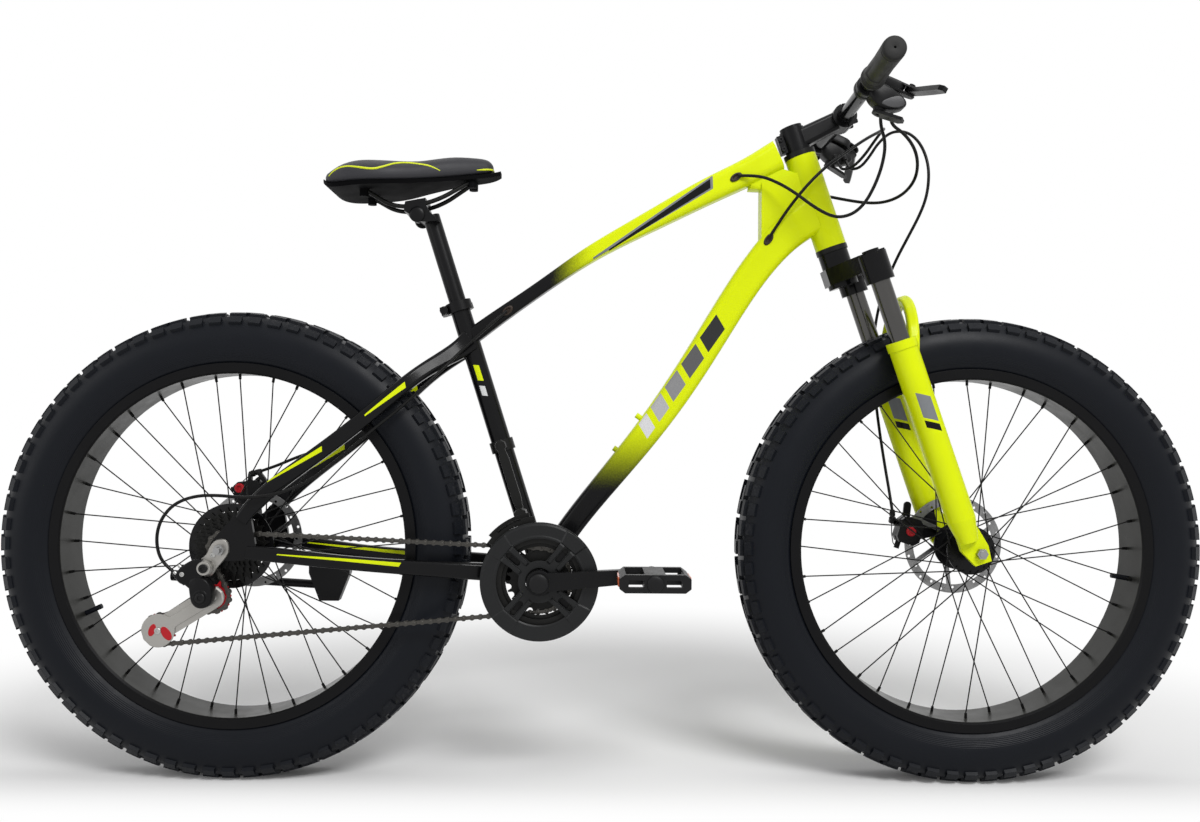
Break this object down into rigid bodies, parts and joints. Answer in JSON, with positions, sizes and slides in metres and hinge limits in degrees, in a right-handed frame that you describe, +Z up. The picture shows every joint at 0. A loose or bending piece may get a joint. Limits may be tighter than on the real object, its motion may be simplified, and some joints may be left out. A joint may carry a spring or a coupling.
{
  "type": "fat tire bike",
  "caption": "Fat-tyre mountain bicycle with a suspension fork, disc brakes, chain drive with derailleurs, open chain guard, quick-release saddle height and folded kickstand.",
  "frame": {"origin": "on the floor midway between the two axles", "axes": "+X forward, +Y the rider's left, +Z up; the chain is on the -Y side"},
  "size_m": [1.896, 0.667, 1.0819],
  "materials": {
    "paint_yellow": "gloss neon yellow paint, fading to black",
    "paint_black": "gloss black paint",
    "alloy_black": "satin black alloy",
    "alloy_silver": "satin alloy",
    "stanchion": "polished hard chrome",
    "steel": "bare steel",
    "steel_dark": "dark oiled steel",
    "spoke_black": "black coated steel",
    "tyre": "black rubber",
    "rubber": "ribbed black rubber",
    "plastic_black": "moulded black plastic",
    "plastic_clear": "smoked plastic",
    "pulley_red": "red moulded plastic",
    "saddle_cover": "black synthetic leather",
    "housing": "black cable housing"
  },
  "bodies": {
    "frame": {"head_tube": "paint_yellow", "top_tube": "paint_yellow", "down_tube": "paint_yellow", "seat_tube": "paint_black", "chainstays": "paint_black", "seatstays": "paint_black", "bearing_cups": "steel_dark", "seat_collar": "alloy_black", "front_derailleur": "steel_dark", "rear_axle": "steel", "rear_derailleur": "alloy_silver", "chain": "steel_dark", "rear_brake_caliper": "alloy_black", "kickstand_bracket": "alloy_black", "rear_cables": "housing"},
    "steering": {"fork_crown": "paint_black", "fork_stanchions": "stanchion", "stem": "alloy_black", "handlebar": "paint_black", "handlebar_grips": "rubber", "left_control": "plastic_black", "right_control": "plastic_black", "steering_cables": "housing", "front_brake_cable": "housing"},
    "fork_slider": {"fork_lowers": "paint_yellow", "front_brake_caliper": "alloy_black", "front_axle": "steel"},
    "front_wheel": {"front_tyre": "tyre", "front_rim": "alloy_black", "front_spokes": "spoke_black", "front_hub": "alloy_black", "front_rotor": "steel"},
    "rear_wheel": {"rear_tyre": "tyre", "rear_rim": "alloy_black", "rear_spokes": "spoke_black", "rear_hub": "alloy_black", "rear_rotor": "steel", "spoke_protector": "plastic_clear"},
    "cogs": {"freewheel": "steel_dark"},
    "crankset": {"right_crank": "alloy_black", "left_crank": "alloy_black", "chainrings": "steel_dark", "chain_guard": "plastic_black"},
    "pedal_right": {"right_pedal": "plastic_black"},
    "pedal_left": {"left_pedal": "plastic_black"},
    "brake_lever_left": {"left_brake_lever": "alloy_black"},
    "brake_lever_right": {"right_brake_lever": "alloy_black"},
    "shift_lever_left": {"left_shift_lever": "plastic_black"},
    "shift_lever_right": {"right_shift_lever": "plastic_black"},
    "brake_arm_front": {"front_brake_arm": "steel"},
    "brake_arm_rear": {"rear_brake_arm": "steel"},
    "cage": {"derailleur_cage": "alloy_silver"},
    "pulley_guide": {"guide_pulley": "pulley_red"},
    "pulley_tension": {"tension_pulley": "pulley_red"},
    "seat": {"seatpost": "alloy_black", "saddle_rails": "steel_dark", "saddle_base": "plastic_black", "saddle_pad": "saddle_cover"},
    "seat_lever": {"quick_release_lever": "alloy_black"},
    "stand": {"kickstand_leg": "alloy_black"}
  },
  "joints": [
    {"name": "steering_turn", "type": "hinge", "parent": "frame", "child": "steering", "pos_m": [0.33927, 0, 0.91968], "axis": [-0.3256, 0, 0.9455], "range_deg": [-55, 55], "deforming": ["steering_cables"]},
    {"name": "fork_travel", "type": "slide", "parent": "steering", "child": "fork_slider", "axis": [-0.3256, 0, 0.9455], "range_m": [0, 0.06], "stiffness_N_per_m": 8000, "springref_m": -0.03, "deforming": ["front_brake_cable"]},
    {"name": "front_wheel_spin", "type": "hinge", "parent": "fork_slider", "child": "front_wheel", "pos_m": [0.58, 0, 0.368], "axis": [0, 1, 0], "continuous": true},
    {"name": "rear_wheel_spin", "type": "hinge", "parent": "frame", "child": "rear_wheel", "pos_m": [-0.58, 0, 0.368], "axis": [0, 1, 0], "continuous": true},
    {"name": "crank_spin", "type": "hinge", "parent": "frame", "child": "crankset", "pos_m": [-0.09749, 0, 0.323], "axis": [0, 1, 0], "continuous": true, "deforming": ["chain"]},
    {"name": "cog_spin", "type": "hinge", "parent": "frame", "child": "cogs", "pos_m": [-0.58, 0, 0.368], "axis": [0, 1, 0], "continuous": true},
    {"name": "right_pedal_spin", "type": "hinge", "parent": "crankset", "child": "pedal_right", "pos_m": [0.07198, -0.16, 0.33634], "axis": [0, 1, 0], "continuous": true},
    {"name": "left_pedal_spin", "type": "hinge", "parent": "crankset", "child": "pedal_left", "pos_m": [-0.26697, 0.16, 0.30966], "axis": [0, 1, 0], "continuous": true},
    {"name": "left_brake_pull", "type": "hinge", "parent": "steering", "child": "brake_lever_left", "pos_m": [0.43743, 0.17288, 1.04986], "axis": [0.4162, 0.1736, 0.8925], "range_deg": [0, 18], "stiffness_Nm_per_rad": 1.5, "springref_deg": -14.32},
    {"name": "right_brake_pull", "type": "hinge", "parent": "steering", "child": "brake_lever_right", "pos_m": [0.43743, -0.17288, 1.04986], "axis": [-0.4162, 0.1736, -0.8925], "range_deg": [0, 18], "stiffness_Nm_per_rad": 1.5, "springref_deg": -14.32},
    {"name": "left_shift_push", "type": "hinge", "parent": "steering", "child": "shift_lever_left", "pos_m": [0.39544, 0.163, 1.02133], "axis": [-0.4226, 0, -0.9063], "range_deg": [0, 30], "stiffness_Nm_per_rad": 0.4, "springref_deg": -17.19},
    {"name": "right_shift_push", "type": "hinge", "parent": "steering", "child": "shift_lever_right", "pos_m": [0.39544, -0.163, 1.02133], "axis": [0.4226, 0, 0.9063], "range_deg": [0, 30], "stiffness_Nm_per_rad": 0.4, "springref_deg": -17.19},
    {"name": "front_brake_arm_turn", "type": "hinge", "parent": "fork_slider", "child": "brake_arm_front", "pos_m": [0.50636, 0.0735, 0.39051], "axis": [0, -1, 0], "range_deg": [0, 20]},
    {"name": "rear_brake_arm_turn", "type": "hinge", "parent": "frame", "child": "brake_arm_rear", "pos_m": [-0.58805, 0.091, 0.44458], "axis": [0, -1, 0], "range_deg": [0, 20]},
    {"name": "cage_swing", "type": "hinge", "parent": "frame", "child": "cage", "pos_m": [-0.604, -0.083, 0.297], "axis": [0, -1, 0], "range_deg": [0, 15], "stiffness_Nm_per_rad": 1, "springref_deg": -28.65, "deforming": ["chain"]},
    {"name": "guide_pulley_spin", "type": "hinge", "parent": "cage", "child": "pulley_guide", "pos_m": [-0.594, -0.076, 0.294], "axis": [0, 1, 0], "continuous": true},
    {"name": "tension_pulley_spin", "type": "hinge", "parent": "cage", "child": "pulley_tension", "pos_m": [-0.67653, -0.076, 0.24303], "axis": [0, 1, 0], "continuous": true},
    {"name": "seat_height", "type": "slide", "parent": "frame", "child": "seat", "axis": [-0.3057, 0, 0.9521], "range_m": [-0.1, 0.1]},
    {"name": "seat_lever_turn", "type": "hinge", "parent": "frame", "child": "seat_lever", "pos_m": [-0.2569, 0.0185, 0.7413], "axis": [-0.3057, 0, 0.9521], "range_deg": [0, 150]},
    {"name": "stand_swing", "type": "hinge", "parent": "frame", "child": "stand", "pos_m": [-0.456, 0.104, 0.286], "axis": [0, -1, 0], "range_deg": [0, 95]}
  ],
  "couplings": [
    {"joint": "cog_spin", "follows": "crank_spin", "ratio": 2},
    {"joint": "guide_pulley_spin", "follows": "crank_spin", "ratio": -2.1818},
    {"joint": "tension_pulley_spin", "follows": "crank_spin", "ratio": 2.1818},
    {"joint": "front_brake_arm_turn", "follows": "left_brake_pull", "ratio": 1.1},
    {"joint": "rear_brake_arm_turn", "follows": "right_brake_pull", "ratio": 1.1}
  ]
}
